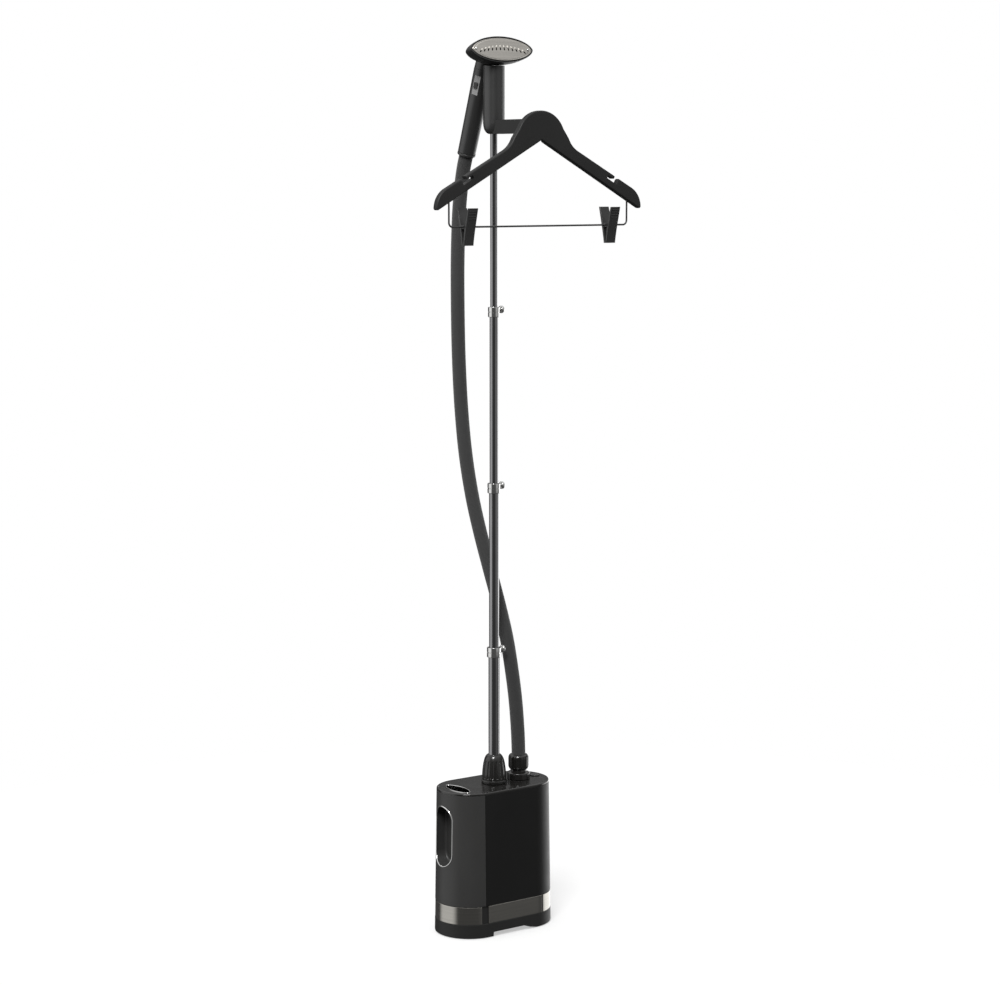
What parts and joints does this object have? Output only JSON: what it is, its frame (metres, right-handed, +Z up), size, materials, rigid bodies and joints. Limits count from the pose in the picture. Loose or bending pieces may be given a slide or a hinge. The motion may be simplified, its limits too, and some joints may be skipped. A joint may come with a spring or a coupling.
{
  "type": "garment steamer",
  "caption": "Upright garment steamer: oblong base with slide-out water tank, telescoping pole, sleeved steam hose, handset on a holder, and a clothes hanger with trouser clips.",
  "frame": {"origin": "on the floor at the middle of the object's footprint box, the free hose left out", "axes": "+Z up along the pole, -Y to the front where the hanger and the steam plate face, +X away from the water tank"},
  "size_m": [0.4426, 0.2869, 1.6268],
  "materials": {
    "black_body": "fine satin moulded black",
    "black_gloss": "piano black",
    "smoked_metal": "smoked polished strip",
    "chrome": "bright plated",
    "black_chrome": "black chrome tube",
    "rubber": "matt",
    "hose_fabric": "woven sleeve",
    "satin_black": "satin moulded",
    "hanger_finish": "satin black moulding",
    "plate_steel": "brushed",
    "cast_alloy": "as cast",
    "board_green": "solder resist",
    "silicone": "translucent matt",
    "spring_steel": "drawn wire"
  },
  "bodies": {
    "root": {"base_tray": "black_body", "foot_pad_1": "rubber", "foot_pad_2": "rubber", "foot_pad_3": "rubber", "foot_pad_4": "rubber", "band_left": "smoked_metal", "band_front": "smoked_metal", "band_rear": "smoked_metal", "band_right": "smoked_metal", "base_shell": "black_body", "top_cover": "black_gloss", "boiler": "cast_alloy", "steam_pipe": "cast_alloy", "valve_seat": "rubber", "water_pump": "black_gloss", "control_board": "board_green", "suction_hose": "silicone", "feed_hose": "silicone", "mains_gland": "rubber", "pole_sleeve": "black_body", "pole_collar": "black_gloss", "pole_tube_1": "black_chrome", "clamp_collar_1": "chrome", "hose_flange": "black_gloss", "steam_hose": "hose_fabric"},
    "tank": {"water_tank": "black_body", "tank_lid": "black_gloss", "fill_rim": "chrome", "grip_trim": "chrome", "tank_spout": "rubber"},
    "power_button": {"power_button": "satin_black"},
    "hose_nut": {"hose_nut": "black_gloss"},
    "thumb_screw_1": {"thumb_screw_1": "chrome"},
    "thumb_screw_2": {"thumb_screw_2": "chrome"},
    "thumb_screw_3": {"thumb_screw_3": "chrome"},
    "pole_2": {"pole_tube_2": "black_chrome", "clamp_collar_2": "chrome"},
    "pole_3": {"pole_tube_3": "black_chrome", "clamp_collar_3": "chrome"},
    "pole_top": {"pole_tube_4": "black_chrome", "handset_holder": "satin_black", "hanger_arm": "satin_black"},
    "handset": {"handle_shell": "satin_black", "slider_plate": "black_gloss", "hose_cuff": "satin_black", "steam_duct": "silicone", "head_housing": "satin_black", "steam_plate": "plate_steel", "plate_rivet_left": "chrome", "plate_rivet_right": "chrome"},
    "steam_slider": {"steam_slider": "satin_black"},
    "hanger": {"hanger_body": "hanger_finish", "trouser_bar": "black_chrome"},
    "clip_left": {"clip_back_left": "satin_black", "clip_spring_left": "spring_steel"},
    "clip_left_jaw": {"clip_front_left": "satin_black"},
    "clip_right": {"clip_back_right": "satin_black", "clip_spring_right": "spring_steel"},
    "clip_right_jaw": {"clip_front_right": "satin_black"}
  },
  "joints": [
    {"name": "tank_slide", "type": "slide", "parent": "root", "child": "tank", "axis": [-1, 0, 0], "range_m": [0, 0.1]},
    {"name": "power_press", "type": "slide", "parent": "root", "child": "power_button", "axis": [0, 0, -1], "range_m": [0, 0.0015], "stiffness_N_per_m": 500},
    {"name": "hose_nut_turn", "type": "hinge", "parent": "root", "child": "hose_nut", "pos_m": [0.0556, 0.02834, 0.3], "axis": [0, 0, 1], "range_deg": [0, 90]},
    {"name": "pole_slide_1", "type": "slide", "parent": "root", "child": "pole_2", "axis": [0, 0, 1], "range_m": [-0.28, 0], "deforming": ["steam_hose"]},
    {"name": "pole_slide_2", "type": "slide", "parent": "pole_2", "child": "pole_3", "axis": [0, 0, 1], "range_m": [-0.295, 0], "deforming": ["steam_hose"]},
    {"name": "pole_slide_3", "type": "slide", "parent": "pole_3", "child": "pole_top", "axis": [0, 0, 1], "range_m": [-0.3, 0], "deforming": ["steam_hose"]},
    {"name": "thumb_turn_1", "type": "hinge", "parent": "root", "child": "thumb_screw_1", "pos_m": [0.0154, 0.02834, 0.519], "axis": [1, 0, 0], "range_deg": [0, 180]},
    {"name": "thumb_turn_2", "type": "hinge", "parent": "pole_2", "child": "thumb_screw_2", "pos_m": [0.0142, 0.02834, 0.8223], "axis": [1, 0, 0], "range_deg": [0, 180]},
    {"name": "thumb_turn_3", "type": "hinge", "parent": "pole_3", "child": "thumb_screw_3", "pos_m": [0.01305, 0.02834, 1.1423], "axis": [1, 0, 0], "range_deg": [0, 180]},
    {"name": "handset_lift", "type": "slide", "parent": "pole_top", "child": "handset", "axis": [0, -0.3437, 0.9391], "range_m": [0, 0.035], "deforming": ["steam_hose"]},
    {"name": "steam_slide", "type": "slide", "parent": "handset", "child": "steam_slider", "axis": [0, -0.3437, 0.9391], "range_m": [-0.009, 0.009]},
    {"name": "hanger_lift", "type": "slide", "parent": "pole_top", "child": "hanger", "axis": [0, 0, 1], "range_m": [0, 0.016]},
    {"name": "clip_slide_left", "type": "slide", "parent": "hanger", "child": "clip_left", "axis": [1, 0, 0], "range_m": [-0.02, 0.13]},
    {"name": "clip_slide_right", "type": "slide", "parent": "hanger", "child": "clip_right", "axis": [1, 0, 0], "range_m": [-0.13, 0.02]},
    {"name": "clip_open_left", "type": "hinge", "parent": "clip_left", "child": "clip_left_jaw", "pos_m": [-0.154, -0.11116, 1.295], "axis": [1, 0, 0], "range_deg": [-22, 0], "stiffness_Nm_per_rad": 0.3},
    {"name": "clip_open_right", "type": "hinge", "parent": "clip_right", "child": "clip_right_jaw", "pos_m": [0.154, -0.11116, 1.295], "axis": [1, 0, 0], "range_deg": [-22, 0], "stiffness_Nm_per_rad": 0.3}
  ]
}
